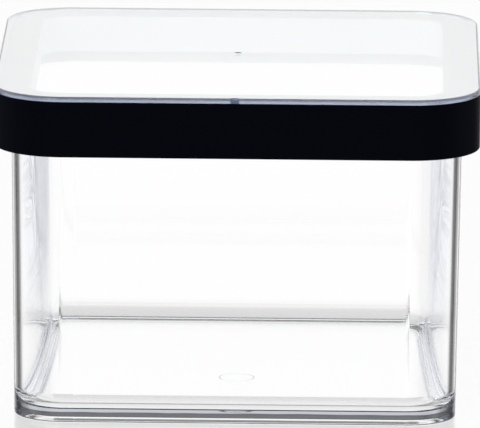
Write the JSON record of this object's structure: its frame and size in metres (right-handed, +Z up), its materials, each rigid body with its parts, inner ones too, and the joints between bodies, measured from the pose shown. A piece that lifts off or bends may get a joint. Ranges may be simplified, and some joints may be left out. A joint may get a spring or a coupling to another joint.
{
  "type": "food storage jar",
  "caption": "Clear plastic storage jar, square in plan with rounded corners, with a flat press-on lid: clear top, dark side band, pale plug ring and soft seal.",
  "frame": {"origin": "centre of the jar's square footprint, on the surface that it stands on", "axes": "+Z up through the lid, +X to the right across the front, the front faces -Y"},
  "size_m": [0.1, 0.1, 0.069],
  "materials": {
    "clear_body_plastic": "clear, polished, as moulded",
    "clear_lid_plastic": "clear, polished, as moulded",
    "black_band_plastic": "satin black, through-dyed",
    "pale_ring_plastic": "pale, milky, fine matt",
    "soft_seal_rubber": "pale soft silicone, matt"
  },
  "bodies": {
    "container": {"container_body": "clear_body_plastic"},
    "lid": {"lid_window": "clear_lid_plastic", "lid_frame": "black_band_plastic", "plug_ring": "pale_ring_plastic", "seal_gasket": "soft_seal_rubber"}
  },
  "joints": [
    {"name": "lid_lift", "type": "slide", "parent": "container", "child": "lid", "axis": [0, 0, 1], "range_m": [0, 0.04]}
  ]
}
